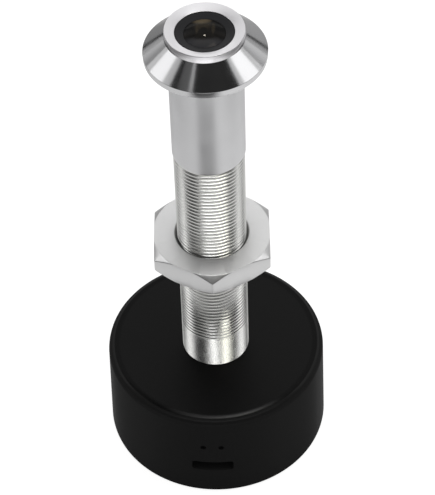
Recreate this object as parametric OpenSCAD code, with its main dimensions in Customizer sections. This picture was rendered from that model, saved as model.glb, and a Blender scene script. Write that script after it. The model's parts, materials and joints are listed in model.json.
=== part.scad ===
// Peephole door camera: a flanged lens head on a smooth sleeve, a threaded tube with a
// clamping nut, and a round housing that holds the board and the battery.
// Millimetres. +Z runs up the barrel to the lens, the origin is the middle of the foot
// that the camera stands on, and the charging port faces -Y.

/* [Head] */
// Diameter of the flange that bears on the outside of the door
flange_d = 25; // [22:0.5:32]
// Height of the flange's straight rim
rim_h = 1.6; // [1:0.1:2.5]
// Height of the polished cone above the rim
cone_h = 3.8; // [3:0.1:5]
// Outside diameter of the raised ring round the lens
ring_d = 16.2; // [15:0.1:18]
// Height of the raised ring above the cone
ring_h = 1.6; // [1:0.1:2.2]
// Rounding of the ring's outer edge
ring_edge_r = 0.2; // [0.1:0.05:0.6]
// Depth of the dish in the ring's face
ring_dish = 0.6; // [0.2:0.1:1]
// Diameter of the window that the lens looks out of
window_d = 12; // [11:0.1:12.6]

/* [Lens] */
// Outside diameter of the lens barrel inside the tube
lens_body_d = 10.8; // [10:0.1:11.4]
// Diameter of the domed front glass
glass_d = 8.4; // [7.5:0.1:9.4]
// Height of the front glass's dome
dome_h = 1; // [0.6:0.1:1.4]
// Diameter of the threaded neck that the lens holder goes on
neck_d = 8.6; // [8:0.1:9]
// Diameter of the lens seal's cord
o_ring_d = 0.78; // [0.6:0.02:1]

/* [Barrel] */
// Major diameter of the barrel's fine thread
thread_d = 15; // [14.6:0.1:16]
// Pitch of the fine thread
thread_pitch = 1; // [0.75:0.05:1.5]
// Number of turns of the thread
thread_turns = 55; // [40:1:70]
// Plain stretch between the housing and the thread
plain_len = 6.5; // [3:0.5:12]
// Wall of the inner tube that the sleeve goes over
inner_wall = 1.1; // [0.9:0.05:1.3]
// Wall of the smooth sleeve
sleeve_wall = 1.05; // [0.9:0.05:1.4]
// Length of the smooth sleeve that shows below the flange
sleeve_len = 26.2; // [20:0.2:40]
// Wall of the spigot that the housing is clamped on
spigot_wall = 1; // [0.8:0.05:1.3]

/* [Nut] */
// Width of the clamping nut across its flats
nut_af = 25; // [22:0.5:30]
// Thickness of the clamping nut
nut_h = 5.4; // [4.2:0.1:7]
// Gap for the door between the flange and the nut
door_gap = 51.3; // [30:0.1:70]
// Reach of the nut's round faces past its flats
nut_face_out = 0.2; // [-0.4:0.05:0.6]
// Slope of the nut's chamfers
nut_chamfer = 36; // [15:1:36]
// Turn of the nut about the barrel
nut_turn = 3; // [-30:1:30]

/* [Housing] */
// Diameter of the housing at its foot
body_d = 50; // [47:0.5:60]
// Height of the housing
body_h = 24; // [23:0.5:30]
// Draft of the housing's side
draft = 1.2; // [0:0.1:2]
// Wall of the housing at its top
wall = 2.1; // [1.8:0.1:2.6]
// Thickness of the housing's top
top_wall = 2.2; // [1.6:0.1:3]
// Rounding of the housing's top edge
edge_r = 1.6; // [0.6:0.1:2]
// Rounding of the housing's foot
foot_r = 0.4; // [0.2:0.1:0.6]
// Thickness of the rear cover
cover_t = 2.2; // [1.6:0.1:2.8]
// Set-back of the rear cover from the foot
cover_inset = 0.2; // [0.1:0.05:0.5]

/* [Ports] */
// Width of the charging slot
port_w = 9.4; // [8.4:0.1:10]
// Height of the charging slot
port_h = 2.9; // [2.7:0.1:3.4]
// Height of the charging slot's middle above the foot
port_z = 8.9; // [8.4:0.1:10]
// Diameter of the two pinholes
pinhole_d = 1.3; // [0.8:0.1:2]
// Distance between the two pinholes
pinhole_pitch = 4; // [3.9:0.1:5]
// Height of the pinholes above the foot
pinhole_z = 15.5; // [14.8:0.1:16.5]
// Travel of the reset plunger
reset_travel = 0.3; // [0.2:0.05:0.5]

/* [Inside] */
// Thickness of the main board
board_t = 1.2; // [0.8:0.1:1.6]
// Distance of the board's screws from the housing's wall
boss_inset = 4.2; // [3.4:0.1:6]
// Diameter of the screw bosses
boss_d = 5.2; // [4.6:0.1:6]
// Length of the battery
battery_l = 28; // [22:0.5:30]
// Width of the battery
battery_w = 22; // [16:0.5:24]
// Thickness of the battery
battery_t = 4.6; // [3:0.1:5]
// Width of the flat cable to the sensor
flex_w = 6; // [4:0.2:6.4]

/* [Hidden] */
$fn = 96;

// clearances
seat_gap = 0.05;
run_gap = 0.05;
slip_gap = 0.1;
press_gap = 0.02;

// radii of the barrel, from the lens outwards
lens_body_r = lens_body_d / 2;
bore_r = lens_body_r + slip_gap;
inner_r = bore_r + inner_wall;
sleeve_in_r = inner_r + run_gap;
sleeve_r = sleeve_in_r + sleeve_wall;
thread_r = thread_d / 2;
spigot_r = bore_r + spigot_wall;
window_r = window_d / 2;

// heights along the barrel
z_thread = body_h + plain_len;
z_sleeve = z_thread + thread_pitch * thread_turns;
z_flange = z_sleeve + seat_gap + sleeve_len;
z_rim = z_flange + rim_h;
z_cone = z_rim + cone_h;
z_face = z_cone + ring_h;
z_nut = z_flange - door_gap - nut_h;

// head and lens
rim_edge_r = 0.3;
lip_h = 3.2;
lip_edge = 0.15;
sleeve_seat = 1.6;
sleeve_step = 0.4;
sleeve_edge = 0.2;
sleeve_spigot_r = sleeve_r - sleeve_step;
flange_relief = 0.4;
lens_flange_t = 1;
lens_body_len = 3;
neck_len = 9;
glass_edge_t = 1.4;
glass_inset = 0.5;
rim_recess = 0.15;
rim_land = 0.25;
glass_r = glass_d / 2;
neck_r = neck_d / 2;
z_window = z_face - ring_dish;
z_lip = z_face - lip_h;
z_lens_flange = z_lip - seat_gap - lens_flange_t;
z_tube_end = z_lens_flange - o_ring_d - 2 * seat_gap;
z_lens_body = z_lens_flange - lens_body_len;
z_neck = z_lens_body - neck_len;
z_glass = z_window - glass_inset;
z_glass_seat = z_glass - glass_edge_t;
mid_bore_r = 3.3;
rear_bore_r = 2.6;
rear_stop_r = 2.1;
mid_bore_len = 6.5;
rear_ledge = 0.6;
z_mid_bore = z_glass_seat - mid_bore_len;

// lens holder and sensor
holder_len = 11;
holder_step = 1;
sensor_cavity = 6.4;
cavity_h = 2.2;
filter_t = 0.4;
sensor_board_t = 1;
sensor_t = 1;
holder_r = bore_r - slip_gap;
z_holder_top = z_lens_body - holder_step;
z_holder = z_holder_top - holder_len;
z_sensor_board = z_holder - sensor_board_t;
sensor_screw_x = holder_r - 1;
sensor_screw_r = 0.4;
sensor_screw_grip = 1.6;
flex_t = 0.25;
flex_grip = 0.9;
connector_h = 1.3;
flex_slot_t = flex_t + slip_gap;

// housing
z_top_wall = body_h - top_wall;
body_r = body_d / 2;
top_r = body_r - body_h * tan(draft);
cavity_r = top_r - wall;
cover_ledge = 0.6;
cover_top = cover_inset + cover_t;
cover_r = cavity_r + cover_ledge - slip_gap;
hook_angles = [45, 135, 225, 315];
hook_span = 16;
hook_t = 1.2;
hook_h = 5;
hook_barb = 0.5;
barb_h = 1.2;
boss_angles = [90, 210, 330];
boss_circle_r = cavity_r - boss_inset;
screw_r = 0.8;
screw_head_r = 1.9;
screw_head_h = 1.4;
screw_len = 7;
screw_slot = [2.2, 0.5, 0.8];

// clamp of the barrel inside the housing
washer_t = 1;
washer_land = 3.4;
washer_r = spigot_r + washer_land;
barrel_nut_land = 2.5;
barrel_nut_af = 2 * (spigot_r + barrel_nut_land);
barrel_nut_h = 3.2;
spigot_end = 1.6;
z_washer = z_top_wall - washer_t;
z_barrel_nut = z_washer - barrel_nut_h;
z_spigot = z_barrel_nut - spigot_end;

// board and what is on it
port_corner_r = 0.7;
usb_w = 7.5;
usb_h = 2.6;
usb_l = 5.6;
usb_wall = 0.3;
usb_corner = 0.9;
z_board = port_z + usb_h / 2;
z_board_top = z_board + board_t;
board_r = cavity_r - 1;
usb_front = -sqrt(pow(cavity_r, 2) - pow(usb_w / 2, 2)) + 0.15;
led_r = 1.5;
led_flange_r = 1.7;
led_l = 5;
led_lead = 0.5;
led_lead_pitch = 1.6;
led_front = -sqrt(pow(cavity_r, 2) - pow(pinhole_pitch / 2 + led_flange_r, 2)) + 0.3;
switch_w = 4;
switch_l = 3.5;
switch_above = 2.1;
switch_front = led_front + 2.4;
plunger_r = 1;
plunger_out = 1.6;
plunger_in = 1.2;

part_gap = 0.8;
boss_x = boss_circle_r * cos(30);
beside_boss_x = boss_x - boss_d / 2 - part_gap;
flex_margin = 0.8;
flex_room = 1.2;
beside_flex_x = flex_w / 2 + flex_margin + flex_room;
shield_size = [10.5, 10, 2];
shield_wall = 0.25;
shield_y = 6;
shield_at = [-beside_flex_x - shield_size[0] / 2, shield_y];
processor_size = [9, 9, 1];
processor_y = 5;
processor_at = [beside_flex_x + part_gap + processor_size[0] / 2, processor_y];
memory_size = [6, 5, 0.9];
memory_y = -4.5;
memory_at = [beside_boss_x - memory_size[0] / 2, memory_y];
inductor_size = [5, 5, 1.6];
inductor_y = -4;
inductor_at = [-beside_boss_x + inductor_size[0] / 2, inductor_y];
inductor_core_r = 1.9;
inductor_core_h = 0.8;
crystal_size = [3.2, 2.5, 0.8];
crystal_at = [processor_at[0], processor_at[1] + (processor_size[1] + crystal_size[1]) / 2 + part_gap];
regulator_size = [2.9, 1.6, 1.1];
regulator_at = [inductor_at[0], inductor_at[1] - (inductor_size[1] + regulator_size[1]) / 2 - part_gap];
charger_size = [4.9, 3.9, 1.5];
charger_room = 3;
charger_at = [0, switch_front + switch_l + charger_room + charger_size[1] / 2];
capacitor_size = [1.6, 0.8, 0.8];
capacitor_pitch = 2.2;
capacitor_rows = [
    [processor_at[0], processor_at[1] - (processor_size[1] + capacitor_size[1]) / 2 - part_gap],
    [charger_at[0], charger_at[1] + (charger_size[1] + capacitor_size[1]) / 2 + part_gap]];
antenna_size = [5.2, 2, 1.2];
antenna_inset = 5.9;
antenna_at = [shield_at[0] + (shield_size[0] - antenna_size[0]) / 2, board_r - antenna_inset];

// battery
pad_t = 0.5;
battery_y = 2;
battery_edge = 1.4;
z_battery = cover_top + pad_t;
battery_lead_r = 0.55;
battery_lead_pitch = 2;
lead_bend = 1.3;
protection_t = 1.4;
protection_h = 2.4;
protection_margin = 3;
battery_plug = [4, 6, 2.6];
battery_plug_inset = 3.9;
battery_plug_x = board_r - battery_plug_inset;
lead_x = battery_plug_x - 0.5;

// An arc of a profile, from one angle to another.
function arc(centre, r, from, to, steps = 8) =
    [for (i = [0:steps]) let (a = from + (to - from) * i / steps) centre + r * [cos(a), sin(a)]];

// One turn of the thread's profile: crest, flank, root and flank.
thread_depth = 0.6134 * thread_pitch;
function thread_turn(z) = [
    [thread_r, z],
    [thread_r, z + thread_pitch / 8],
    [thread_r - thread_depth, z + thread_pitch * 7 / 16],
    [thread_r - thread_depth, z + thread_pitch * 11 / 16]];

// A ring with a square section.
module ring(r_out, r_in, z, h) {
    translate([0, 0, z]) difference() {
        cylinder(r = r_out, h = h);
        translate([0, 0, -1]) cylinder(r = r_in, h = h + 2);
    }
}

// A block that stands on z, centred on x and y.
module block(size, x, y, z) {
    translate([x - size[0] / 2, y - size[1] / 2, z]) cube(size);
}

// A drawing in x and z, pulled from y towards +Y.
module along_y(y, length) {
    translate([0, y + length, 0]) rotate([90, 0, 0]) linear_extrude(length) children();
}

// A drawing in y and z, pulled to both sides of x.
module across_x(width) {
    translate([-width / 2, 0, 0]) rotate([90, 0, 90]) linear_extrude(width) children();
}

// A slot with round corners, drawn about its middle.
module round_slot(w, h, r) {
    square([w - 2 * r, h], center = true);
    square([w, h - 2 * r], center = true);
    for (x = [-1, 1], y = [-1, 1])
        translate([x * (w / 2 - r), y * (h / 2 - r)]) circle(r);
}

// Flange, polished cone and raised ring in one turned piece.
module front_bezel() {
    ring_r = ring_d / 2;
    rim_r = flange_d / 2;
    socket_r = sleeve_spigot_r + press_gap;
    relief_r = sleeve_r + flange_relief;
    color("gainsboro") rotate_extrude() polygon(concat(
        [[socket_r, z_flange + flange_relief], [relief_r, z_flange + flange_relief], [relief_r, z_flange]],
        arc([rim_r - rim_edge_r, z_flange + rim_edge_r], rim_edge_r, -90, 0, 4),
        [[rim_r, z_rim], [ring_r, z_cone]],
        arc([ring_r - ring_edge_r, z_face - ring_edge_r], ring_edge_r, 0, 90),
        [[window_r + lip_edge, z_window], [window_r, z_window - lip_edge], [window_r, z_lip],
            [sleeve_in_r, z_lip], [sleeve_in_r, z_flange + sleeve_seat],
            [socket_r, z_flange + sleeve_seat]]));
}

// Smooth sleeve that carries the bezel and screws onto the inner tube.
module outer_sleeve() {
    z_low = z_sleeve + seat_gap;
    z_high = z_flange + sleeve_seat;
    color("silver") rotate_extrude() polygon([
        [sleeve_in_r, z_low], [sleeve_r - sleeve_edge, z_low], [sleeve_r, z_low + sleeve_edge],
        [sleeve_r, z_flange], [sleeve_spigot_r, z_flange], [sleeve_spigot_r, z_high], [sleeve_in_r, z_high]]);
}

// Tube from the housing to the lens, with the fine thread that the clamping nut runs on.
module threaded_tube() {
    end_chamfer = 0.4;
    color("lightgray") rotate_extrude() polygon(concat(
        [[bore_r, z_spigot], [spigot_r - end_chamfer, z_spigot], [spigot_r, z_spigot + end_chamfer],
            [spigot_r, body_h], [thread_r, body_h]],
        [for (i = [0:thread_turns - 1]) each thread_turn(z_thread + i * thread_pitch)],
        [[thread_r, z_sleeve], [inner_r, z_sleeve], [inner_r, z_tube_end], [bore_r, z_tube_end]]));
}

// Hexagon nut with both faces chamfered, which clamps the door against the flange.
module clamp_nut() {
    corner_r = nut_af / 2 / cos(30);
    face_r = nut_af / 2 + nut_face_out;
    cone_r = corner_r + 1;
    drop = (cone_r - face_r) * tan(nut_chamfer);
    hole_r = thread_r + run_gap;
    sink = 0.6;
    color("silver") translate([0, 0, z_nut]) difference() {
        intersection() {
            rotate(30 + nut_turn) cylinder(r = corner_r, h = nut_h, $fn = 6);
            rotate_extrude() polygon([[0, 0], [face_r, 0], [cone_r, drop], [cone_r, nut_h - drop],
                [face_r, nut_h], [0, nut_h]]);
        }
        rotate_extrude() polygon([[0, -1], [hole_r + sink + 1, -1], [hole_r, sink], [hole_r, nut_h - sink],
            [hole_r + sink + 1, nut_h + 1], [0, nut_h + 1]]);
    }
}

// Lens barrel with a dished front, a clamped flange and a threaded neck.
module lens_barrel() {
    front_r = window_r - slip_gap;
    glass_hole_r = glass_r + run_gap;
    color([0.06, 0.06, 0.07]) rotate_extrude() polygon([
        [rear_stop_r, z_neck], [neck_r, z_neck], [neck_r, z_lens_body], [lens_body_r, z_lens_body],
        [lens_body_r, z_lens_flange], [sleeve_in_r - slip_gap, z_lens_flange],
        [sleeve_in_r - slip_gap, z_lip - seat_gap], [front_r, z_lip - seat_gap],
        [front_r, z_window - rim_recess], [front_r - rim_land, z_window - rim_recess],
        [glass_hole_r, z_glass], [glass_hole_r, z_glass_seat], [mid_bore_r, z_glass_seat],
        [mid_bore_r, z_mid_bore], [rear_bore_r, z_mid_bore], [rear_bore_r, z_neck + rear_ledge],
        [rear_stop_r, z_neck + rear_ledge]]);
}

// Domed front glass with a hollow back.
module front_lens() {
    dome_r = (pow(glass_r, 2) + pow(dome_h, 2)) / (2 * dome_h);
    hollow_r = 3.6;
    hollow_h = 1.2;
    color([0.35, 0.35, 0.45, 0.5]) difference() {
        union() {
            translate([0, 0, z_glass_seat]) cylinder(r = glass_r, h = glass_edge_t);
            intersection() {
                translate([0, 0, z_glass + dome_h - dome_r]) sphere(dome_r);
                translate([0, 0, z_glass - 0.01]) cylinder(r = glass_r, h = dome_h + 1);
            }
        }
        translate([0, 0, z_glass_seat + hollow_h - hollow_r]) sphere(hollow_r);
    }
}

// Inner lens elements, each a disc with a domed front.
module lens_disc(r, z, t, dome) {
    dome_r = (r * r + dome * dome) / (2 * dome);
    translate([0, 0, z]) cylinder(r = r, h = t - dome);
    intersection() {
        translate([0, 0, z + t - dome_r]) sphere(dome_r);
        translate([0, 0, z + t - dome - 0.01]) cylinder(r = r, h = dome + 1);
    }
}

second_lens_t = 2.1;
aperture_t = 0.2;
aperture_r = 1.2;
spacer_t = 1.2;
third_lens_t = mid_bore_len - second_lens_t - aperture_t - spacer_t;
rear_lens_t = 1.8;

module second_lens() {
    color([0.4, 0.4, 0.5, 0.5])
        lens_disc(mid_bore_r - run_gap, z_glass_seat - second_lens_t, second_lens_t, 0.5);
}

// Thin stop that sets the lens's aperture.
module aperture_stop() {
    color([0.05, 0.05, 0.05])
        ring(mid_bore_r - run_gap, aperture_r, z_glass_seat - second_lens_t - aperture_t, aperture_t);
}

module lens_spacer() {
    color([0.1, 0.1, 0.1])
        ring(mid_bore_r - run_gap, mid_bore_r - 0.9, z_mid_bore + third_lens_t, spacer_t);
}

module third_lens() {
    color([0.4, 0.45, 0.5, 0.5]) lens_disc(mid_bore_r - run_gap, z_mid_bore, third_lens_t, 0.7);
}

module rear_lens() {
    color([0.4, 0.45, 0.5, 0.5]) lens_disc(rear_bore_r - run_gap, z_neck + rear_ledge, rear_lens_t, 0.5);
}

// Seal between the lens flange and the end of the tube.
module lens_seal() {
    color([0.08, 0.08, 0.08]) rotate_extrude()
        translate([(bore_r + inner_r) / 2, z_lens_flange - seat_gap - o_ring_d / 2]) circle(d = o_ring_d);
}

// Holder that screws onto the lens neck and stands on the sensor board.
module lens_holder() {
    color([0.09, 0.09, 0.1]) difference() {
        translate([0, 0, z_holder]) cylinder(r = holder_r, h = holder_len);
        translate([0, 0, z_holder + cavity_h]) cylinder(r = neck_r + run_gap, h = holder_len);
        block([sensor_cavity, sensor_cavity, cavity_h + 2], 0, 0, z_holder - 1);
        for (side = [-1, 1])
            translate([side * sensor_screw_x, 0, z_holder - 1])
                cylinder(r = sensor_screw_r + run_gap, h = 1 + sensor_screw_grip + 0.3);
    }
}

module ir_filter() {
    color([0.3, 0.45, 0.5, 0.5]) translate([0, 0, z_holder + cavity_h])
        cylinder(r = neck_r - slip_gap, h = filter_t);
}

module image_sensor() {
    color([0.15, 0.16, 0.2]) block([sensor_cavity - 0.8, sensor_cavity - 1.2, sensor_t], 0, 0, z_holder);
}

module sensor_board() {
    color("darkgreen") difference() {
        translate([0, 0, z_sensor_board]) cylinder(r = holder_r - slip_gap, h = sensor_board_t);
        for (side = [-1, 1])
            translate([side * sensor_screw_x, 0, z_sensor_board - 1])
                cylinder(r = sensor_screw_r + slip_gap, h = sensor_board_t + 2);
    }
}

module sensor_screws() {
    head_h = 0.5;
    head_r = 0.75;
    color("silver") for (side = [-1, 1]) translate([side * sensor_screw_x, 0, z_sensor_board]) {
        cylinder(r = sensor_screw_r, h = sensor_board_t + sensor_screw_grip);
        translate([0, 0, -head_h]) cylinder(r = head_r, h = head_h);
    }
}

module sensor_connector() {
    color("ivory") difference() {
        block([flex_w + 0.9, 2.2, connector_h], 0, 0, z_sensor_board - connector_h);
        block([flex_w + 2 * slip_gap, flex_slot_t, flex_grip + slip_gap + 1], 0, 0,
            z_sensor_board - connector_h - 1);
    }
}

// Flat cable down the tube, turned at the bottom into the board's connector.
flex_bend = 2.2;
flex_z = z_board_top + connector_h / 2;
flex_connector_y = 5;
flex_connector_l = 4;

module sensor_flex() {
    inner = flex_bend - flex_t / 2;
    outer = flex_bend + flex_t / 2;
    z_high = z_sensor_board - connector_h + flex_grip;
    color("darkorange") across_x(flex_w) {
        translate([-flex_t / 2, flex_z + flex_bend]) square([flex_t, z_high - flex_z - flex_bend]);
        translate([flex_bend, flex_z + flex_bend]) intersection() {
            difference() {
                circle(outer);
                circle(inner);
            }
            translate([-outer - 1, -outer - 1]) square(outer + 1);
        }
        translate([flex_bend, flex_z - flex_t / 2])
            square([flex_connector_y + flex_grip - flex_bend, flex_t]);
    }
}

module flex_connector() {
    color("ivory") difference() {
        block([flex_w + 2 * flex_margin, flex_connector_l, connector_h], 0,
            flex_connector_y + flex_connector_l / 2, z_board_top);
        translate([-flex_w / 2 - slip_gap, flex_connector_y - 1, flex_z - flex_slot_t / 2])
            cube([flex_w + 2 * slip_gap, flex_grip + slip_gap + 1, flex_slot_t]);
    }
}

// Round cup with a drafted side, open at the foot for the rear cover.
module housing_outside() {
    z_edge = body_h - edge_r;
    edge_x = body_r - z_edge * tan(draft) - edge_r / cos(draft);
    rotate_extrude() polygon(concat(
        [[0, 0]],
        arc([body_r - foot_r, foot_r], foot_r, -90, -draft, 4),
        arc([edge_x, z_edge], edge_r, draft, 90, 10),
        [[0, body_h]]));
}

module hook_windows() {
    for (a = hook_angles) rotate(a - hook_span / 2 - 1) rotate_extrude(angle = hook_span + 2)
        translate([cavity_r - 1, cover_top + hook_h - barb_h - slip_gap])
            square([1 + hook_barb + slip_gap, barb_h + 2 * slip_gap]);
}

module housing() {
    color([0.07, 0.07, 0.07]) difference() {
        union() {
            difference() {
                housing_outside();
                translate([0, 0, cover_top]) cylinder(r = cavity_r, h = z_top_wall - cover_top);
                translate([0, 0, -1]) cylinder(r = cover_r + slip_gap, h = cover_top + 1);
            }
            for (a = boss_angles) rotate(a) translate([boss_circle_r, 0, z_board_top])
                cylinder(d = boss_d, h = z_top_wall - z_board_top + top_wall / 2);
        }
        translate([0, 0, z_top_wall - 1]) cylinder(r = spigot_r + run_gap, h = top_wall + 2);
        for (a = boss_angles) rotate(a) translate([boss_circle_r, 0, z_board_top - 1])
            cylinder(r = screw_r + run_gap, h = screw_len - board_t + 1.5);
        along_y(-body_r - 1, body_r + 1 - cavity_r + 1.5) translate([0, port_z])
            round_slot(port_w, port_h, port_corner_r);
        for (side = [-1, 1]) translate([side * pinhole_pitch / 2, -body_r - 1, pinhole_z]) rotate([-90, 0, 0])
            cylinder(d = pinhole_d, h = body_r + 1 - cavity_r + 1);
        hook_windows();
    }
}

// Disc that closes the foot, with four snap hooks.
module rear_cover() {
    hook_r = cavity_r - slip_gap;
    hook_top = cover_top + hook_h;
    edge = 0.3;
    color([0.08, 0.08, 0.08]) {
        rotate_extrude() polygon([[0, cover_inset], [cover_r - edge, cover_inset],
            [cover_r, cover_inset + edge], [cover_r, cover_top], [0, cover_top]]);
        for (a = hook_angles) rotate(a - hook_span / 2) rotate_extrude(angle = hook_span) polygon([
            [hook_r - hook_t, cover_top - 0.5], [hook_r, cover_top - 0.5], [hook_r, hook_top - barb_h],
            [hook_r + hook_barb, hook_top - barb_h], [hook_r, hook_top], [hook_r - hook_t, hook_top]]);
    }
}

module barrel_washer() {
    color("silver") ring(washer_r, spigot_r + slip_gap, z_washer, washer_t);
}

module barrel_nut() {
    color("silver") translate([0, 0, z_barrel_nut]) difference() {
        cylinder(r = barrel_nut_af / 2 / cos(30), h = barrel_nut_h, $fn = 6);
        translate([0, 0, -1]) cylinder(r = spigot_r + run_gap, h = barrel_nut_h + 2);
    }
}

module main_board() {
    color("darkgreen") difference() {
        translate([0, 0, z_board]) cylinder(r = board_r, h = board_t);
        for (a = boss_angles) rotate(a) translate([boss_circle_r, 0, z_board - 1])
            cylinder(r = screw_r + 0.3, h = board_t + 2);
    }
}

module board_screws() {
    color("silver") for (a = boss_angles) rotate(a) translate([boss_circle_r, 0, z_board]) difference() {
        union() {
            cylinder(r = screw_r, h = screw_len);
            translate([0, 0, -screw_head_h]) cylinder(r = screw_head_r, h = screw_head_h);
        }
        for (turn = [0, 90]) rotate(turn) block(screw_slot, 0, 0, -screw_head_h - 0.1);
    }
}

// Folded can, open below, over the radio.
module wifi_shield() {
    inside = [shield_size[0] - 2 * shield_wall, shield_size[1] - 2 * shield_wall, shield_size[2]];
    color("silver") difference() {
        block(shield_size, shield_at[0], shield_at[1], z_board_top);
        block(inside, shield_at[0], shield_at[1], z_board_top - shield_wall);
    }
}

module chip_antenna() {
    color("ivory") block(antenna_size, antenna_at[0], antenna_at[1], z_board_top);
}

module processor_chip() {
    color([0.12, 0.12, 0.13]) block(processor_size, processor_at[0], processor_at[1], z_board_top);
}

module memory_chip() {
    color([0.12, 0.12, 0.13]) block(memory_size, memory_at[0], memory_at[1], z_board_top);
}

module power_inductor() {
    color([0.25, 0.25, 0.27]) {
        block(inductor_size, inductor_at[0], inductor_at[1], z_board_top);
        translate([inductor_at[0], inductor_at[1], z_board_top + inductor_size[2]])
            cylinder(r = inductor_core_r, h = inductor_core_h);
    }
}

module crystal() {
    color("silver") block(crystal_size, crystal_at[0], crystal_at[1], z_board_top);
}

module regulator_chip() {
    color([0.12, 0.12, 0.13]) block(regulator_size, regulator_at[0], regulator_at[1], z_board_top);
}

module charger_chip() {
    color([0.12, 0.12, 0.13]) block(charger_size, charger_at[0], charger_at[1], z_board_top);
}

module capacitors() {
    color("tan") for (row = capacitor_rows, i = [-1.5:1:1.5])
        block(capacitor_size, row[0] + i * capacitor_pitch, row[1], z_board_top);
}

// Charging socket: a folded shell under the board, with its contact tongue.
function usb_outline(inset) = let (w = usb_w / 2 - inset, h = usb_h / 2 - inset, c = usb_corner - 0.4 * inset)
    [[-w, h], [w, h], [w, c - h], [w - c, -h], [c - w, -h], [-w, c - h]];

module usb_shell() {
    color("silver") along_y(usb_front, usb_l) translate([0, port_z]) difference() {
        polygon(usb_outline(0));
        polygon(usb_outline(usb_wall));
    }
}

module usb_tongue() {
    back_l = 1.4;
    color([0.1, 0.1, 0.1]) {
        along_y(usb_front + usb_l - back_l, back_l) translate([0, port_z])
            polygon(usb_outline(usb_wall + seat_gap));
        translate([-1.9, usb_front + 0.8, port_z + 0.15]) cube([3.8, usb_l - 0.8 - back_l / 2, 0.6]);
    }
}

// Round lamp behind the right pinhole, on bent legs.
module status_led() {
    flange_t = 0.8;
    y_back = led_front + led_l;
    color("white") translate([pinhole_pitch / 2, 0, pinhole_z]) {
        translate([0, led_front + led_r, 0]) rotate([-90, 0, 0]) cylinder(r = led_r, h = led_l - led_r);
        translate([0, led_front + led_r, 0]) sphere(led_r);
        translate([0, y_back - flange_t, 0]) rotate([-90, 0, 0]) cylinder(r = led_flange_r, h = flange_t);
        for (side = [-1, 1]) translate([side * led_lead_pitch / 2 - led_lead / 2, y_back - 0.1, 0]) {
            translate([0, 0, -led_lead / 2]) cube([led_lead, 1.1, led_lead]);
            translate([0, 1.1 - led_lead, z_board_top - pinhole_z])
                cube([led_lead, led_lead, pinhole_z - z_board_top]);
        }
    }
}

// Upright push switch behind the left pinhole.
module reset_switch() {
    color([0.2, 0.2, 0.2]) difference() {
        translate([-pinhole_pitch / 2 - switch_w / 2, switch_front, z_board_top])
            cube([switch_w, switch_l, pinhole_z + switch_above - z_board_top]);
        translate([-pinhole_pitch / 2, switch_front - 1, pinhole_z]) rotate([-90, 0, 0])
            cylinder(r = plunger_r + run_gap, h = 1 + plunger_in + reset_travel + 0.3);
    }
}

module reset_plunger() {
    color("dimgray") translate([-pinhole_pitch / 2, switch_front - plunger_out, pinhole_z])
        rotate([-90, 0, 0]) cylinder(r = plunger_r, h = plunger_out + plunger_in);
}

// Flat cell with rounded long edges, stuck to the rear cover.
module battery() {
    color("silver") translate([-battery_l / 2, battery_y, z_battery + battery_t / 2]) rotate([90, 0, 90])
        linear_extrude(battery_l - protection_t - seat_gap) round_slot(battery_w, battery_t, battery_edge);
}

// Protection circuit across the end of the cell, where the leads start.
module battery_protection() {
    color("darkgreen") block([protection_t, battery_w - 2 * protection_margin, protection_h],
        (battery_l - protection_t) / 2, battery_y, z_battery + (battery_t - protection_h) / 2);
}

module battery_pad() {
    color("dimgray") block([battery_l - 4, battery_w - 4, pad_t], 0, battery_y, cover_top);
}

module battery_connector() {
    color("ivory") block(battery_plug, battery_plug_x, battery_y, z_board - battery_plug[2]);
}

module battery_leads() {
    z_mid = z_battery + battery_t / 2;
    z_plug = z_board - battery_plug[2];
    straight = lead_x - lead_bend - battery_l / 2;
    y_half = battery_lead_pitch / 2;
    color("firebrick") for (y = [-y_half, y_half]) translate([battery_l / 2, battery_y + y, z_mid]) {
        rotate([0, 90, 0]) cylinder(r = battery_lead_r, h = straight);
        translate([straight, 0, lead_bend]) rotate([90, 0, 0]) rotate(-90) rotate_extrude(angle = 90)
            translate([lead_bend, 0]) circle(battery_lead_r);
        translate([straight + lead_bend, 0, lead_bend])
            cylinder(r = battery_lead_r, h = z_plug - z_mid - lead_bend);
    }
}

front_bezel();
outer_sleeve();
threaded_tube();
clamp_nut();
front_lens();
second_lens();
third_lens();
rear_lens();
aperture_stop();
lens_spacer();
lens_barrel();
lens_seal();
lens_holder();
ir_filter();
image_sensor();
sensor_board();
sensor_screws();
sensor_connector();
sensor_flex();
housing();
rear_cover();
barrel_washer();
barrel_nut();
main_board();
board_screws();
wifi_shield();
chip_antenna();
processor_chip();
memory_chip();
power_inductor();
crystal();
regulator_chip();
charger_chip();
capacitors();
flex_connector();
usb_shell();
usb_tongue();
status_led();
reset_switch();
reset_plunger();
battery();
battery_protection();
battery_pad();
battery_connector();
battery_leads();
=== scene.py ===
"""Looks of the peephole door camera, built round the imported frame.

Lengths are in millimetres in the part's own frame, and MM turns them into metres.
"""

import json
import math

import bmesh
import bpy
from mathutils import Matrix, Vector


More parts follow.
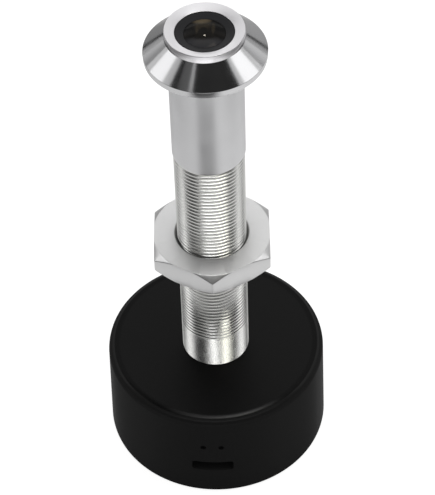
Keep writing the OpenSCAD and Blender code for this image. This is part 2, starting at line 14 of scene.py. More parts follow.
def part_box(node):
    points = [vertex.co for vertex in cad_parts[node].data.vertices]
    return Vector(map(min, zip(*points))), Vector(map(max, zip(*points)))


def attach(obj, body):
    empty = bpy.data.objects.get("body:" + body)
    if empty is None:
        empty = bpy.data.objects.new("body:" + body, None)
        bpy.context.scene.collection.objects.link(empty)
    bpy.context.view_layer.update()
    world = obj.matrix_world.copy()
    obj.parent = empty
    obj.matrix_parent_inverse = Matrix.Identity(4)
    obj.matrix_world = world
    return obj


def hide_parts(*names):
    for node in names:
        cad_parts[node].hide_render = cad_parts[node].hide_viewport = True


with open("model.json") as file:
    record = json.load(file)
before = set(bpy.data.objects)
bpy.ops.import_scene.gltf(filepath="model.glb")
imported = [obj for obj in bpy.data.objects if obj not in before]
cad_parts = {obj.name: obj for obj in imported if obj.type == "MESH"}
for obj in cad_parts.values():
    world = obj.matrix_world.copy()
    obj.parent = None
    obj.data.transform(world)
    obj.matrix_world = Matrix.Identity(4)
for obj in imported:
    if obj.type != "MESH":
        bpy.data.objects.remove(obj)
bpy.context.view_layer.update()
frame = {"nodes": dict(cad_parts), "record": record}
nodes = frame["nodes"]
record = frame["record"]
scene = bpy.context.scene
MM = 0.001


def span(node):
    """Lowest and highest corner of a CAD node, in millimetres."""
    low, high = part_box(node)
    return low / MM, high / MM


BEZEL_LOW, BEZEL_HIGH = span("front_bezel")
SLEEVE_LOW = span("outer_sleeve")[0]
TUBE_LOW, TUBE_HIGH = span("threaded_tube")
NUT_LOW, NUT_HIGH = span("clamp_nut")
HOUSING_HIGH = span("housing")[1]

THREAD_R = TUBE_HIGH.x
PITCH = 1.0
TURNS = 55
THREAD_DEPTH = 0.54 * PITCH
SEAT_GAP = 0.05
Z_SLEEVE = SLEEVE_LOW.z - SEAT_GAP
Z_THREAD = Z_SLEEVE - PITCH * TURNS

# Pitch and depth of the lathe marks on the tube's foot, and the depth of the fine marks on turned metal
MARK_PITCH = 0.3
MARK_DEPTH = 0.54
FINE_DEPTH = 0.03


# Meshes


def finish_bmesh(name, bm, sharp=32):
    """A new object from a mesh in millimetres, smooth apart from edges sharper than an angle."""
    bmesh.ops.recalc_face_normals(bm, faces=bm.faces)
    bmesh.ops.scale(bm, vec=(MM, MM, MM), verts=bm.verts)
    mesh = bpy.data.meshes.new(name)
    bm.to_mesh(mesh)
    bm.free()
    mesh.shade_smooth()
    mesh.set_sharp_from_angle(angle=math.radians(sharp))
    obj = bpy.data.objects.new(name, mesh)
    scene.collection.objects.link(obj)
    return obj


def add_mesh(name, verts, faces):
    """A new object from points in millimetres and the faces between them."""
    bm = bmesh.new()
    points = [bm.verts.new(v) for v in verts]
    for face in faces:
        bm.faces.new([points[k] for k in face])
    return finish_bmesh(name, bm)


def arc(x, z, r, start, end, steps=6):
    """Points of a profile's rounded corner."""
    angles = [math.radians(start + (end - start) * i / steps) for i in range(steps + 1)]
    return [(x + r * math.cos(a), z + r * math.sin(a)) for a in angles]


def ring_points(r, z, n):
    """Points of a level circle about the barrel's axis."""
    return [(r * math.cos(2 * math.pi * i / n), r * math.sin(2 * math.pi * i / n), z) for i in range(n)]


def lathe(name, profile, n=192):
    """A closed profile of (r, z) points, counter-clockwise, turned about the barrel's axis."""
    verts = []
    for r, z in profile:
        verts += ring_points(r, z, n)
    faces = []
    rows = len(profile)
    for j in range(rows):
        k = (j + 1) % rows
        for i in range(n):
            i2 = (i + 1) % n
            faces.append((j * n + i, j * n + i2, k * n + i2, k * n + i))
    return add_mesh(name, verts, faces)


def disc_lathe(name, profile, n=128):
    """A profile from the axis back to the axis, whose first and last points are on the axis."""
    verts = [(0, 0, profile[0][1])]
    for r, z in profile[1:-1]:
        verts += ring_points(r, z, n)
    verts.append((0, 0, profile[-1][1]))
    rows = len(profile) - 2
    last = len(verts) - 1
    faces = []
    for i in range(n):
        i2 = (i + 1) % n
        faces.append((0, 1 + i2, 1 + i))
        faces.append((last, 1 + (rows - 1) * n + i, 1 + (rows - 1) * n + i2))
        for j in range(rows - 1):
            a, b = 1 + j * n, 1 + (j + 1) * n
            faces.append((a + i, a + i2, b + i2, b + i))
    return add_mesh(name, verts, faces)


def stands_for(obj, node, body, slot):
    """Shows an object in place of a CAD node, with the node's material, and moves it with a body."""
    obj.data.materials.append(MATERIALS[slot])
    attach(obj, body)
    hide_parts(node)


# Materials


class Nodes:
    """Short names for building a node tree."""

    def __init__(self, tree):
        self.tree = tree

    def add(self, kind, **settings):
        node = self.tree.nodes.new(kind)
        for key, value in settings.items():
            setattr(node, key, value)
        return node

    def link(self, source, target):
        self.tree.links.new(source, target)

    def math(self, operation, a, b=0.0):
        node = self.add("ShaderNodeMath", operation=operation)
        for socket, value in zip(node.inputs, (a, b)):
            if hasattr(value, "is_output"):
                self.link(value, socket)
            else:
                socket.default_value = value
        return node.outputs[0]

    def plus(self, a, b):
        return self.math("ADD", a, b)

    def minus(self, a, b):
        return self.math("SUBTRACT", a, b)

    def times(self, a, b):
        return self.math("MULTIPLY", a, b)

    def without(self, share):
        return self.math("SUBTRACT", 1.0, share)

    def axes(self, coords):
        """The three coordinates of a point."""
        node = self.add("ShaderNodeSeparateXYZ")
        self.link(coords, node.inputs[0])
        return node.outputs

    def map(self, value, low, high, to_low, to_high):
        """A smooth step from one level to another."""
        node = self.add("ShaderNodeMapRange", interpolation_type="SMOOTHSTEP")
        self.link(value, node.inputs["Value"])
        for key, number in zip(("From Min", "From Max", "To Min", "To Max"), (low, high, to_low, to_high)):
            node.inputs[key].default_value = number
        return node.outputs[0]

    def noise(self, coords, scale, detail=3.0):
        node = self.add("ShaderNodeTexNoise")
        node.inputs["Scale"].default_value = scale
        node.inputs["Detail"].default_value = detail
        self.link(coords, node.inputs["Vector"])
        return node.outputs[0]

    def stripes(self, reach, scale, detail):
        """Noise that varies along one distance only."""
        node = self.add("ShaderNodeCombineXYZ")
        self.link(reach, node.inputs[2])
        return self.noise(node.outputs[0], scale, detail)

    def grey(self, level):
        node = self.add("ShaderNodeCombineColor")
        for socket in node.inputs:
            self.link(level, socket)
        return node.outputs[0]

    def mix_color(self, factor, a, b):
        node = self.add("ShaderNodeMix", data_type="RGBA")
        self.link(factor, node.inputs[0])
        node.inputs[6].default_value = (*a, 1)
        node.inputs[7].default_value = (*b, 1)
        return node.outputs[2]

    def tint(self, factor, under, over):
        """A colour laid over another node's colour."""
        node = self.add("ShaderNodeMix", data_type="RGBA")
        self.link(factor, node.inputs[0])
        self.link(under, node.inputs[6])
        node.inputs[7].default_value = (*over, 1)
        return node.outputs[2]

    def radius(self, x, y):
        """Distance from the barrel's axis."""
        return self.math("SQRT", self.plus(self.times(x, x), self.times(y, y)))

    def bump(self, height, strength, distance, under=None):
        node = self.add("ShaderNodeBump")
        if under:
            self.link(under, node.inputs["Normal"])
        node.inputs["Strength"].default_value = strength
        node.inputs["Distance"].default_value = distance
        self.link(height, node.inputs["Height"])
        return node.outputs[0]


def new_material(name):
    """A material with its node kit, its shader and the part's own coordinates."""
    mat = bpy.data.materials.new(name)
    mat.use_nodes = True
    kit = Nodes(mat.node_tree)
    shader = mat.node_tree.nodes["Principled BSDF"]
    coords = kit.add("ShaderNodeTexCoord").outputs["Object"]
    return mat, kit, shader, coords


def surface(name, low, high, rough, metallic=0.0, grain=900.0, bump=0.15, depth=0.04, specular=0.5):
    """A material whose colour, roughness and relief vary over its grain."""
    mat, kit, shader, coords = new_material(name)
    noise = kit.noise(coords, grain)
    kit.link(kit.mix_color(noise, low, high), shader.inputs["Base Color"])
    kit.link(kit.map(noise, 0.2, 0.8, rough[0], rough[1]), shader.inputs["Roughness"])
    kit.link(kit.bump(noise, bump, depth * MM), shader.inputs["Normal"])
    shader.inputs["Metallic"].default_value = metallic
    shader.inputs["Specular IOR Level"].default_value = specular
    return mat


def foot_marks(kit, x, y, z, z_end):
    """Coarse lathe marks below a height, and a little way up the thread's crests on one side of the front."""
    around = kit.math("FRACT", kit.math("DIVIDE", kit.math("ARCTAN2", y, x), 2 * math.pi))
    below = kit.minus(kit.times(around, PITCH * MM), z)
    raised = kit.times(kit.map(around, 0.758, 0.79, 0.0, 6.3 * MM), kit.map(around, 0.828, 0.842, 1.0, 0.0))
    cover = kit.math("GREATER_THAN", kit.plus(below, raised), -z_end * MM)
    crest = kit.math("GREATER_THAN", kit.radius(x, y), (THREAD_R - 0.02) * MM)
    ridges = kit.math("FRACT", kit.math("DIVIDE", below, MARK_PITCH * MM))
    return kit.times(ridges, kit.times(cover, crest))


def turned_metal(name, low, high, rough, marks, strength, smear=0.0, radial=False, metallic=1.0,
                 coarse_below=None, matt_and_shade_above=None):
    """Bright metal with the fine marks that a lathe leaves, which smear its reflections across them. Below a
    given top face, its sides get painted shade and its countersink a dark painted shade.
    """
    mat, kit, shader, coords = new_material(name)
    x, y, z = kit.axes(coords)
    reach = kit.radius(x, y) if radial else z
    relief = kit.bump(kit.stripes(reach, marks, 2.0), strength, FINE_DEPTH * MM)
    if coarse_below:
        relief = kit.bump(foot_marks(kit, x, y, z, coarse_below), 1.0, MARK_DEPTH * MM, relief)
    cloud = kit.noise(coords, 160.0)
    tone = kit.mix_color(cloud, low, high)
    sheen = kit.map(cloud, 0.25, 0.75, rough[0], rough[1])
    if matt_and_shade_above:
        # Painted shade: below the top face, the sides and chamfers are coloured darker than the face.
        painted_side_shade = kit.map(z, (matt_and_shade_above - 0.3) * MM, (matt_and_shade_above - 0.05) * MM, 1.0, 0.0)
        # Painted shade: the countersink round the bore is coloured dark.
        sink = kit.map(reach, 7.9 * MM, 8.3 * MM, 1.0, 0.0)
        tone = kit.tint(sink, kit.tint(painted_side_shade, tone, (0.83, 0.83, 0.83)), (0.25, 0.25, 0.25))
        matt = kit.map(z, (matt_and_shade_above - 0.06) * MM, (matt_and_shade_above - 0.02) * MM, 0.0, 0.2)
        sheen = kit.plus(sheen, matt)
    kit.link(tone, shader.inputs["Base Color"])
    kit.link(sheen, shader.inputs["Roughness"])
    kit.link(relief, shader.inputs["Normal"])
    shader.inputs["Metallic"].default_value = metallic
    shader.inputs["Anisotropic"].default_value = smear
    shader.inputs["Anisotropic Rotation"].default_value = 0.25
    tangent = kit.add("ShaderNodeTangent", direction_type="RADIAL", axis="Z")
    kit.link(tangent.outputs[0], shader.inputs["Tangent"])
    return mat


def bezel_chrome():
    """Polished plating on the cone and the rim, with a satin face on the raised ring."""
    mat, kit, shader, coords = new_material("bezel_chrome")
    z = kit.axes(coords)[2]
    lines = kit.stripes(z, 6000.0, 3.0)
    cloud = kit.noise(coords, 220.0)
    ring = kit.map(z, (BEZEL_HIGH.z - 1.65) * MM, (BEZEL_HIGH.z - 1.5) * MM, 0.0, 1.0)
    satin = kit.map(z, (BEZEL_HIGH.z - 0.9) * MM, (BEZEL_HIGH.z - 0.7) * MM, 0.0, 0.16)
    polish = kit.map(cloud, 0.25, 0.75, 0.12, 0.15)
    kit.link(kit.plus(polish, satin), shader.inputs["Roughness"])
    kit.link(kit.mix_color(ring, (0.76, 0.76, 0.77), (0.94, 0.93, 0.95)), shader.inputs["Base Color"])
    kit.link(kit.bump(lines, 0.14, FINE_DEPTH * MM), shader.inputs["Normal"])
    shader.inputs["Metallic"].default_value = 1.0
    return mat


def housing_black():
    """Moulded black plastic: matt walls, a top coloured darker as painted shade, and gloss kept to the front
    of the rounded edge for a painted highlight.

    A relief near the rim makes the edge look rounder in front than its mesh.
    """
    mat, kit, shader, coords = new_material("housing_black")
    x, y, z = kit.axes(coords)
    high = HOUSING_HIGH.z
    rim_start, rim_width = HOUSING_HIGH.x - 3.3, 2.5
    top = kit.map(z, (high - 0.04) * MM, (high - 0.008) * MM, 0.0, 1.0)
    edge = kit.minus(kit.map(z, (high - 0.3) * MM, (high - 0.1) * MM, 0.0, 1.0), top)
    rim = kit.math("MAXIMUM", kit.minus(kit.radius(x, y), rim_start * MM), 0.0)
    rim = kit.math("MINIMUM", rim, rim_width * MM)
    edge = kit.math("MAXIMUM", edge, kit.times(top, kit.map(rim, 0.0, 0.6 * MM, 0.0, 1.0)))
    grain = kit.noise(coords, 5200.0)
    # Painted shade: the top is coloured darker than the sides.
    tone = kit.minus(kit.map(grain, 0.2, 0.8, 0.0155, 0.0195), kit.times(top, 0.0145))
    kit.link(kit.grey(tone), shader.inputs["Base Color"])
    # Painted highlight: the edge is glossy only in front and a little to the right, so a lamp's highlight
    # shows only there.
    painted_highlight_gloss = kit.map(kit.minus(y, kit.times(x, 0.12)), -23 * MM, -18 * MM, 0.46, 0.08)
    plain = kit.times(top, kit.without(edge))
    gloss = kit.plus(kit.times(edge, painted_highlight_gloss), kit.times(plain, 0.12))
    kit.link(kit.plus(gloss, 0.015), shader.inputs["Specular IOR Level"])
    rough = kit.map(grain, 0.2, 0.8, 0.42, 0.5)
    kit.link(kit.minus(rough, kit.times(edge, 0.14)), shader.inputs["Roughness"])
    fall = kit.times(kit.map(y, -20 * MM, -8 * MM, 1.0, 0.0), -0.218 / MM / MM)
    rounded = kit.bump(kit.times(kit.times(rim, rim), fall), 1.0, MM)
    kit.link(kit.bump(grain, 0.2, 0.05 * MM, rounded), shader.inputs["Normal"])
    return mat


def lens_glass():
    """Dark coated glass with painted reflections: a warm patch at the back, dim streaks, a dark pupil where
    they are cut away, and a grey painted rim towards the front.
    """
    mat, kit, shader, coords = new_material("lens_glass")
    x, y, _ = kit.axes(coords)

    def spot(at_x, at_y, wide, deep, inner):
        """1 inside an ellipse given in millimetres, falling to 0 at its edge."""
        u = kit.math("DIVIDE", kit.minus(x, at_x * MM), wide * MM)
        v = kit.math("DIVIDE", kit.minus(y, at_y * MM), deep * MM)
        reach = kit.plus(kit.times(u, u), kit.times(v, v))
        return kit.map(reach, inner, 1.0, 1.0, 0.0)

    # Painted reflections: a warm patch at the back and dim patches and streaks, cut away over the pupil.
    painted_reflection = spot(-0.7, 3.6, 2.3, 2.1, 0.0)
    faint_reflections = ((-0.4, 1.6, 2.2, 2.6, 0.22), (-1.5, 0.9, 0.5, 2.4, 0.26), (1.7, 0.9, 0.5, 2.4, 0.22))
    for at_x, at_y, wide, deep, level in faint_reflections:
        painted_reflection = kit.math("MAXIMUM", painted_reflection, kit.times(spot(at_x, at_y, wide, deep, 0.0), level))
    painted_reflection = kit.times(painted_reflection, kit.without(spot(-0.2, -0.5, 1.15, 1.5, 0.3)))
    # Painted light: a grey rim towards the front of the glass.
    rim = kit.times(kit.without(spot(-0.2, 0.9, 4.2, 3.8, 0.5)), kit.map(y, -2.8 * MM, -1.2 * MM, 1.0, 0.0))
    cloud = kit.noise(coords, 900.0, 1.0)
    base = kit.mix_color(cloud, (0.004, 0.004, 0.0045), (0.007, 0.0068, 0.007))
    base = kit.tint(rim, base, (0.05, 0.05, 0.054))
    base = kit.tint(painted_reflection, base, (0.11, 0.085, 0.052))
    kit.link(base, shader.inputs["Base Color"])
    kit.link(kit.map(y, 1.2 * MM, 3.0 * MM, 0.03, 0.45), shader.inputs["Roughness"])
    kit.link(kit.map(y, -1.0 * MM, 0.7 * MM, 0.5, 0.05), shader.inputs["Specular IOR Level"])
    shader.inputs["IOR"].default_value = 1.36
    shader.inputs["Transmission Weight"].default_value = 0.2
    shader.inputs["Specular Tint"].default_value = (0.3, 0.26, 0.2, 1.0)
    return mat


def tinted_glass(name, low, high):
    """Clear glass with a tint."""
    mat, kit, shader, coords = new_material(name)
    kit.link(kit.mix_color(kit.noise(coords, 90.0, 1.0), low, high), shader.inputs["Base Color"])
    shader.inputs["Roughness"].default_value = 0.03
    shader.inputs["IOR"].default_value = 1.5
    shader.inputs["Transmission Weight"].default_value = 1.0
    return mat


def board_green():
    """Lacquered board with copper tracks that show through."""
    mat, kit, shader, coords = new_material("board_green")
    tracks = kit.add("ShaderNodeTexBrick")
    tracks.inputs["Scale"].default_value = 420.0
    tracks.inputs["Mortar Size"].default_value = 0.03
    tracks.inputs["Color1"].default_value = (0.012, 0.075, 0.03, 1)
    tracks.inputs["Color2"].default_value = (0.016, 0.1, 0.04, 1)
    tracks.inputs["Mortar"].default_value = (0.04, 0.17, 0.06, 1)
    kit.link(coords, tracks.inputs["Vector"])
    kit.link(tracks.outputs["Color"], shader.inputs["Base Color"])
    kit.link(kit.map(kit.noise(coords, 600.0), 0.2, 0.8, 0.25, 0.4), shader.inputs["Roughness"])
    return mat


def lead_pair():
    """Red insulation on one battery lead and black on the other."""
    mat, kit, shader, coords = new_material("lead_pair")
    low, high = span("battery_leads")
    side = kit.math("GREATER_THAN", kit.axes(coords)[1], (low.y + high.y) / 2 * MM)
    grain = kit.noise(coords, 900.0)
    kit.link(kit.mix_color(side, (0.014, 0.014, 0.015), (0.27, 0.012, 0.009)), shader.inputs["Base Color"])
    kit.link(kit.map(grain, 0.2, 0.8, 0.35, 0.5), shader.inputs["Roughness"])
    kit.link(kit.bump(grain, 0.15, 0.04 * MM), shader.inputs["Normal"])
    return mat


MATERIALS = {
    "bezel_chrome": bezel_chrome(),
    "sleeve_satin": turned_metal(
        "sleeve_satin", (0.79, 0.79, 0.8), (0.84, 0.84, 0.85), (0.3, 0.36), 9000.0, 0.1,
        smear=0.2, metallic=0.85),
    "tube_steel": turned_metal(
        "tube_steel", (0.81, 0.81, 0.79), (0.87, 0.87, 0.85), (0.18, 0.24), 9000.0, 0.1,
        coarse_below=Z_THREAD + 1.3 * PITCH),
    "nut_steel": turned_metal(
        "nut_steel", (0.89, 0.89, 0.89), (0.95, 0.95, 0.95), (0.27, 0.33), 7000.0, 0.12,
        smear=0.3, radial=True, metallic=0.85, matt_and_shade_above=NUT_HIGH.z),
    "lens_glass": lens_glass(),
    "filter_glass": tinted_glass("filter_glass", (0.45, 0.65, 0.72), (0.5, 0.7, 0.75)),
    "board_green": board_green(),
    "housing_black": housing_black(),
    "lead_red": lead_pair(),
    "lens_black": surface(
        "lens_black", (0.008, 0.008, 0.0095), (0.013, 0.013, 0.015), (0.34, 0.46), grain=2500.0,
        specular=0.24),
    "seal_rubber": surface(
        "seal_rubber", (0.012, 0.012, 0.012), (0.02, 0.02, 0.02), (0.6, 0.8), grain=1800.0),
    "chip_black": surface(
        "chip_black", (0.012, 0.012, 0.013), (0.024, 0.024, 0.026), (0.45, 0.6), grain=3000.0),
    "screw_steel": surface(
        "screw_steel", (0.55, 0.55, 0.55), (0.66, 0.66, 0.65), (0.25, 0.4), metallic=1.0, grain=1200.0),
    "connector_ivory": surface(
        "connector_ivory", (0.62, 0.57, 0.43), (0.7, 0.65, 0.5), (0.4, 0.55)),
    "flex_amber": surface(
        "flex_amber", (0.42, 0.11, 0.012), (0.52, 0.16, 0.02), (0.2, 0.35), grain=500.0),
    "shield_tin": surface(
        "shield_tin", (0.6, 0.6, 0.6), (0.7, 0.7, 0.71), (0.28, 0.42), metallic=1.0, grain=700.0),
    "ferrite_grey": surface(
        "ferrite_grey", (0.03, 0.03, 0.032), (0.05, 0.05, 0.053), (0.5, 0.7), grain=2600.0),
    "led_clear": surface(
        "led_clear", (0.7, 0.74, 0.8), (0.8, 0.83, 0.87), (0.08, 0.15), grain=300.0, bump=0.02),
    "plunger_grey": surface(
        "plunger_grey", (0.07, 0.07, 0.075), (0.1, 0.1, 0.105), (0.4, 0.55), grain=2600.0),
    "battery_foil": surface(
        "battery_foil", (0.4, 0.41, 0.44), (0.5, 0.51, 0.54), (0.3, 0.45), metallic=0.9, grain=350.0,
        bump=0.3, depth=0.1),
}

for part in record["subparts"]:
    mesh = nodes[part["node"]].data
    mesh.materials.clear()
    mesh.materials.append(MATERIALS[part["material_slot"]])

# The tips of these domes are packed with doubled points
for name in ("second_lens", "third_lens", "rear_lens", "status_led"):
    nodes[name].modifiers.new("doubled_points", "WELD").merge_threshold = 0.001 * MM


# Bezel, front glass, tube and nut


def make_bezel():
    """Flange, cone and raised ring in one piece, with rounded edges."""
    rim_r, ring_r, window_r = BEZEL_HIGH.x, 8.1, 6.0
    socket_r, relief_r, lip_r = 7.32, 8.1, 6.65
    rim_h, ring_h, dish_h, relief_h, lip_h = 1.6, 1.6, 0.6, 0.4, 3.2
    z_flange, z_face = BEZEL_LOW.z, BEZEL_HIGH.z
    z_rim, z_cone, z_window, z_lip = z_flange + rim_h, z_face - ring_h, z_face - dish_h, z_face - lip_h
    profile = [(socket_r, z_rim), (socket_r, z_flange + relief_h)]
    profile += [(relief_r, z_flange + relief_h), (relief_r, z_flange)]
    profile += arc(rim_r - 0.38, z_flange + 0.3, 0.3, -90, -3)
    profile += arc(rim_r - 0.08, z_rim - 0.04, 0.08, -3, 49)
    profile += [(ring_r + 0.18, z_cone - 0.08), (ring_r + 0.08, z_cone + 0.02)]
    profile += arc(ring_r - 0.15, z_face - 0.15, 0.15, 3, 106, 10)
    profile += arc(window_r + 0.12, z_window - 0.12, 0.12, 106, 180)
    profile += [(window_r, z_lip), (lip_r, z_lip), (lip_r, z_rim)]
    obj = lathe("bezel", profile, 256)
    stands_for(obj, "front_bezel", "head", "bezel_chrome")


def make_glass():
    """The domed front glass with its hollow back."""
    low, high = span("front_lens")
    r, dome, hollow_r, hollow_h = high.x, 1.0, 3.6, 1.2
    dome_r = (r * r + dome * dome) / (2 * dome)
    hollow_a = math.degrees(math.acos((hollow_r - hollow_h) / hollow_r))
    dome_a = math.degrees(math.asin(r / dome_r))
    profile = arc(0, low.z + hollow_h - hollow_r, hollow_r, 90, 90 - hollow_a, 16)
    profile += [(r - 0.08, low.z), (r, low.z + 0.08)]
    profile += arc(0, high.z - dome_r, dome_r, 90 - dome_a, 90, 24)
    obj = disc_lathe("glass", profile)
    stands_for(obj, "front_lens", "camera", "lens_glass")
    return obj


def make_tube():
    """The tube, with its thread cut as one right-hand helix from above the foot to the sleeve."""
    n = 96
    bore, spigot, inner = 5.5, 6.5, 6.6
    lead_in, break_edge, end_edge = 0.4, 0.08, 0.2
    run_in, lift = 0.125, 0.02
    z_body = HOUSING_HIGH.z
    steps = [(0.0, 0.0), (0.3, 0.0), (0.6, 1.0), (0.7, 1.0)]
    m = len(steps)
    rows = (TURNS + 1) * m
    bm = bmesh.new()

    def ring(r, z):
        """A circle of the tube's points."""
        return [bm.verts.new(p) for p in ring_points(r, z, n)]

    def join(below, above):
        """Faces between two circles."""
        for i in range(n):
            k = (i + 1) % n
            bm.faces.new((below[i], below[k], above[k], above[i]))

    def helix_point(j, i):
        """A point of the thread: step j of its profile, part i of a turn. The groove's start is shallow."""
        turn = j // m + steps[j % m][0] + i / n
        start = min(1.0, max(0.0, (j // m + i / n - 1.0) / run_in))
        r = THREAD_R - steps[j % m][1] * THREAD_DEPTH * start
        a = 2 * math.pi * i / n
        return bm.verts.new((r * math.cos(a), r * math.sin(a), Z_THREAD + lift + turn * PITCH))

    helix = [[helix_point(j, i) for i in range(n)] for j in range(rows + 1)]
    helix += [[helix_point(j, 0)] for j in range(rows + 1, rows + m + 1)]

    def at(j, i):
        """A point of the thread, where the end of one turn is the start of the next."""
        return helix[j + m][0] if i == n else helix[j][i]

    for j in range(rows):
        for i in range(n):
            bm.faces.new((at(j, i), at(j, i + 1), at(j + 1, i + 1), at(j + 1, i)))
    bmesh.ops.bisect_plane(bm, geom=bm.verts[:] + bm.edges[:] + bm.faces[:], plane_co=(0, 0, Z_SLEEVE),
                           plane_no=(0, 0, 1), clear_outer=True)

    foot = ring(THREAD_R, Z_THREAD)
    for i in range(n - 1):
        bm.faces.new((foot[i], foot[i + 1], at(0, i + 1), at(0, i)))
    bm.faces.new((foot[n - 1], foot[0], *[at(j, 0) for j in range(m + 1)], at(0, n - 1)))
    shoulder = ring(inner, Z_SLEEVE)
    rings = [shoulder, ring(inner, TUBE_HIGH.z - end_edge), ring(inner - end_edge, TUBE_HIGH.z)]
    rings += [ring(bore, TUBE_HIGH.z), ring(bore, TUBE_LOW.z)]
    rings += [ring(spigot - lead_in, TUBE_LOW.z), ring(spigot, TUBE_LOW.z + lead_in), ring(spigot, z_body)]
    rings += [ring(THREAD_R - break_edge, z_body), ring(THREAD_R, z_body + break_edge), foot]
    for below, above in zip(rings, rings[1:]):
        join(below, above)
    open_edges = [edge for edge in bm.edges if len(edge.link_faces) == 1]
    bmesh.ops.triangle_fill(bm, use_beauty=True, edges=open_edges, normal=(0, 0, 1))
    obj = finish_bmesh("tube", bm, 15)
    stands_for(obj, "threaded_tube", "camera", "tube_steel")


def make_nut():
    """Hexagon nut whose profile follows its flats and corners, with softened edges."""
    flat, bore, sink = 12.5, 7.55, 0.6
    face_r, slope = flat + 0.2, math.tan(math.radians(36))
    corner = flat / math.cos(math.radians(30)) - 0.04
    turn, blend = math.radians(33), 45
    h = NUT_HIGH.z - NUT_LOW.z
    n = 360
    verts = []
    for i in range(n):
        a = 2 * math.pi * i / n
        phi = (a - turn) % math.radians(60) - math.radians(30)
        side = flat / math.cos(phi)
        r = -math.log(math.exp(-side * blend) + math.exp(-corner * blend)) / blend
        top = [(bore, h - sink), (bore + sink - 0.08, h - 0.05), (bore + sink + 0.05, h)]
        chamfer = [(min(face_r - 0.06, r - 0.42), 0), (min(face_r + 0.06, r - 0.32), 0)]
        chamfer += [(min(face_r + 0.15, r - 0.22), 0), (r - 0.12, 0), (r - 0.04, 0.03), (r, 0.12)]
        for x, down in chamfer:
            top.append((x, h - max(0, x - face_r) * slope - down))
        profile = [(bore, h / 2)] + top + [(x, h - z) for x, z in reversed(top)]
        rows = len(profile)
        for x, z in profile:
            verts.append((x * math.cos(a), x * math.sin(a), NUT_LOW.z + z))
    faces = []
    for i in range(n):
        i2 = (i + 1) % n
        for j in range(rows):
            k = (j + 1) % rows
            faces.append((i * rows + j, i * rows + k, i2 * rows + k, i2 * rows + j))
    obj = add_mesh("nut", verts, faces)
    stands_for(obj, "clamp_nut", "nut", "nut_steel")


make_bezel()
glass = make_glass()
make_tube()
make_nut()


# Floor, light and camera


def make_floor():
    """A white floor that keeps the object's shadow. Metal and glass see it pale, with a painted shadow in
    front of the object and painted shade in other stretches.
    """
    bpy.ops.mesh.primitive_plane_add(size=8, location=(0, 0, -0.0002))
    floor = bpy.context.object
    floor.name = "floor"
    mat = bpy.data.materials.new("floor_white")
    mat.use_nodes = True
    kit = Nodes(mat.node_tree)
    mat.node_tree.nodes.remove(mat.node_tree.nodes["Principled BSDF"])
    path = kit.add("ShaderNodeLightPath")
    camera = path.outputs["Is Camera Ray"]
    mirror = kit.math("MAXIMUM", path.outputs["Is Glossy Ray"], path.outputs["Is Transmission Ray"])
    x, y, _ = kit.axes(kit.add("ShaderNodeTexCoord").outputs["Object"])
    wide = kit.math("ABSOLUTE", x)
    taper = kit.times(kit.plus(y, 0.1), 0.35)
    lane = kit.map(kit.plus(wide, taper), 0.02, 0.07, 1.0, 0.0)
    # Painted shadow: darker in a lane in front of the object, where its shadow would fall, and lighter past
    # it.
    near = kit.times(kit.map(y, -0.15, -0.12, 0.0, 1.0), kit.map(y, -0.03, 0.02, 1.0, 0.0))
    near = kit.times(near, kit.map(y, -0.11, -0.08, 0.65, 0.5))
    far = kit.map(y, -0.15, -0.12, 1.0, 0.0)
    tone = kit.minus(kit.times(far, 0.28), near)
    # Painted shade: lighter to the right, darker towards the back, towards the front of the outer sides and
    # along a horizon on the left.
    pale = kit.plus(kit.map(x, -0.1, 0.1, 0.66, 0.78), kit.times(lane, tone))
    pale = kit.minus(pale, kit.map(y, 0.12, 0.28, 0.0, 0.32))
    pale = kit.minus(pale, kit.map(y, 0.045, 0.075, 0.0, 0.1))
    side = kit.map(kit.minus(y, kit.times(wide, 0.6)), -0.05, 0.1, 1.0, 0.0)
    side = kit.times(side, kit.map(wide, 0.11, 0.2, 0.0, 0.88))
    pale = kit.times(pale, kit.without(side))
    horizon = kit.map(kit.radius(x, y), 1.0, 1.5, 0.0, 1.0)
    horizon = kit.times(horizon, kit.map(x, -0.5, 0.0, 1.0, 0.0))
    pale = kit.times(pale, kit.without(horizon))
    strength = kit.plus(kit.times(camera, 0.88), kit.times(mirror, pale))
    white = kit.add("ShaderNodeEmission")
    kit.link(strength, white.inputs["Strength"])
    diffuse = kit.add("ShaderNodeBsdfDiffuse")
    shade = kit.minus(0.8, kit.times(camera, 0.5))
    shade = kit.times(shade, kit.without(mirror))
    kit.link(kit.grey(shade), diffuse.inputs["Color"])
    both = kit.add("ShaderNodeAddShader")
    kit.link(white.outputs[0], both.inputs[0])
    kit.link(diffuse.outputs[0], both.inputs[1])
    kit.link(both.outputs[0], mat.node_tree.nodes["Material Output"].inputs["Surface"])
    floor.data.materials.append(mat)


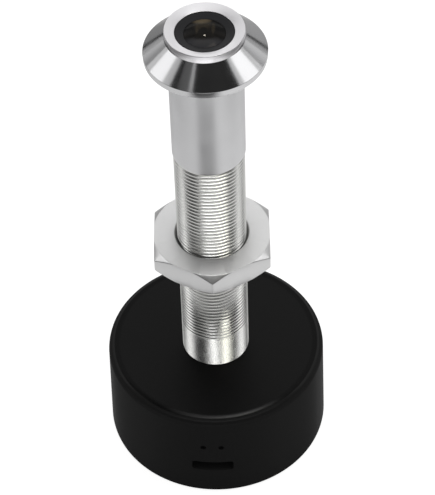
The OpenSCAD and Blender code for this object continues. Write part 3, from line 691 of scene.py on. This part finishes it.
def make_world():
    """A studio that is dark behind the camera and pale behind the object."""
    world = bpy.data.worlds.new("studio")
    scene.world = world
    world.use_nodes = True
    kit = Nodes(world.node_tree)
    back = world.node_tree.nodes["Background"]
    x, y, z = kit.axes(kit.add("ShaderNodeTexCoord").outputs["Generated"])
    behind = kit.times(kit.map(y, 0.3, 0.65, 0.0, 1.0), kit.map(z, 0.2, 0.45, 0.38, 0.72))
    above = kit.times(kit.map(y, -0.05, 0.15, 0.0, 1.0), kit.map(z, 0.84, 0.94, 0.0, 0.9))
    beside = kit.times(kit.map(y, 0.25, 0.42, 0.0, 1.0), kit.map(z, 0.7, 0.84, 0.0, 0.85))
    level = kit.plus(kit.math("MAXIMUM", behind, kit.math("MAXIMUM", above, beside)), 0.02)
    horizon = kit.times(kit.map(z, -0.01, 0.01, 0.0, 1.0), kit.map(z, 0.055, 0.075, 1.0, 0.0))
    horizon = kit.times(horizon, kit.map(x, 0.0, 0.3, 0.0, 1.0))
    level = kit.times(level, kit.without(horizon))
    path = kit.add("ShaderNodeLightPath")
    camera = path.outputs["Is Camera Ray"]
    level = kit.plus(level, kit.times(path.outputs["Is Diffuse Ray"], 0.3))
    hidden = kit.times(level, kit.without(camera))
    kit.link(kit.plus(hidden, camera), back.inputs["Strength"])
    back.inputs["Color"].default_value = (1, 1, 1, 1)


def softbox(name, azimuth, elevation, distance, width, height, radiance, color=(1.0, 1.0, 1.0)):
    """A soft lamp that faces the object's middle. Azimuth 0 is the charging port's side, 90 is +X."""
    a, e = math.radians(azimuth), math.radians(elevation)
    middle = Vector((0, 0, 0.08))
    away = Vector((math.sin(a) * math.cos(e), -math.cos(a) * math.cos(e), math.sin(e)))
    lamp = bpy.data.lights.new(name, "AREA")
    lamp.shape = "RECTANGLE"
    lamp.size, lamp.size_y = width, height
    lamp.color = color
    lamp.energy = radiance * math.pi * width * height
    obj = bpy.data.objects.new(name, lamp)
    obj.location = middle + away * distance
    obj.rotation_euler = away.to_track_quat("Z", "Y").to_euler()
    obj.visible_camera = False
    scene.collection.objects.link(obj)
    return obj


def light_only(lamp, obj):
    """Keeps a lamp's light to one object."""
    lamp.light_linking.receiver_collection = bpy.data.collections.new(lamp.name + "_only")
    lamp.light_linking.receiver_collection.objects.link(obj)


def make_camera():
    """The photograph's viewpoint, fitted to its outline: 435 by 495 pixels, with no shift."""
    focal_pixels, height_pixels, sensor = 2146.056, 495, 36
    turn, tilt, lean, swing, orbit = (math.radians(v) for v in (48.071, 0.459, 2.102, 0.135, 4))
    place = Vector((0, -315.62, 400.91)) * MM
    right, forward = Vector((1, 0, 0)), Vector((0, math.cos(turn), -math.sin(turn)))
    axes = Matrix((right, right.cross(forward), forward))
    yaw = Matrix(((math.cos(swing), 0, -math.sin(swing)), (0, 1, 0), (math.sin(swing), 0, math.cos(swing))))
    pitch = Matrix(((1, 0, 0), (0, math.cos(tilt), -math.sin(tilt)), (0, math.sin(tilt), math.cos(tilt))))
    roll = Matrix(((math.cos(lean), -math.sin(lean), 0), (math.sin(lean), math.cos(lean), 0), (0, 0, 1)))
    rows = roll @ pitch @ yaw @ axes
    basis = Matrix((rows[0], rows[1], -rows[2])).transposed().to_4x4()
    camera = bpy.data.cameras.new("camera")
    camera.sensor_fit = "VERTICAL"
    camera.sensor_height = sensor
    camera.lens = sensor * focal_pixels / height_pixels
    camera.clip_start = 0.01
    obj = bpy.data.objects.new("camera", camera)
    obj.matrix_world = Matrix.Rotation(orbit, 4, "Z") @ Matrix.Translation(place) @ basis
    scene.collection.objects.link(obj)
    scene.camera = obj


# Name, azimuth, elevation, distance, width, height, radiance and, unless white, colour
WARM = (1.0, 0.99, 0.9)
LAMPS = (
    ("box_right", 91, 36, 0.6, 0.41, 0.38, 0.6),
    ("box_right_core", 90, 34, 0.62, 0.26, 0.36, 0.65),
    ("box_right_low", 118, 14, 0.64, 0.26, 0.24, 0.26),
    ("box_left", -90.5, 34, 0.6, 0.44, 0.36, 0.5),
    ("box_left_core", -91, 32, 0.62, 0.24, 0.34, 0.65),
    ("box_left_low", -117, 15, 0.64, 0.24, 0.24, 0.16),
    ("box_high", 44, 79, 0.6, 0.44, 0.12, 2.2),
    ("box_high_core", 54, 70, 0.62, 0.18, 0.14, 2.4, WARM),
    ("box_high_left", -41, 71.4, 0.62, 0.12, 0.075, 2.0),
    ("box_back", 184, 12, 0.7, 0.6, 0.24, 0.5),
    ("strip_left", -27, 55, 0.7, 0.06, 0.2, 0.4),
    ("strip_dim", -41, 52, 0.72, 0.2, 0.2, 0.09),
)

make_floor()
make_world()
for lamp in LAMPS:
    softbox(*lamp)
light_only(softbox("lamp_back", 184, 62, 0.8, 0.045, 0.045, 60), glass)
make_camera()
scene.view_settings.view_transform = "Standard"
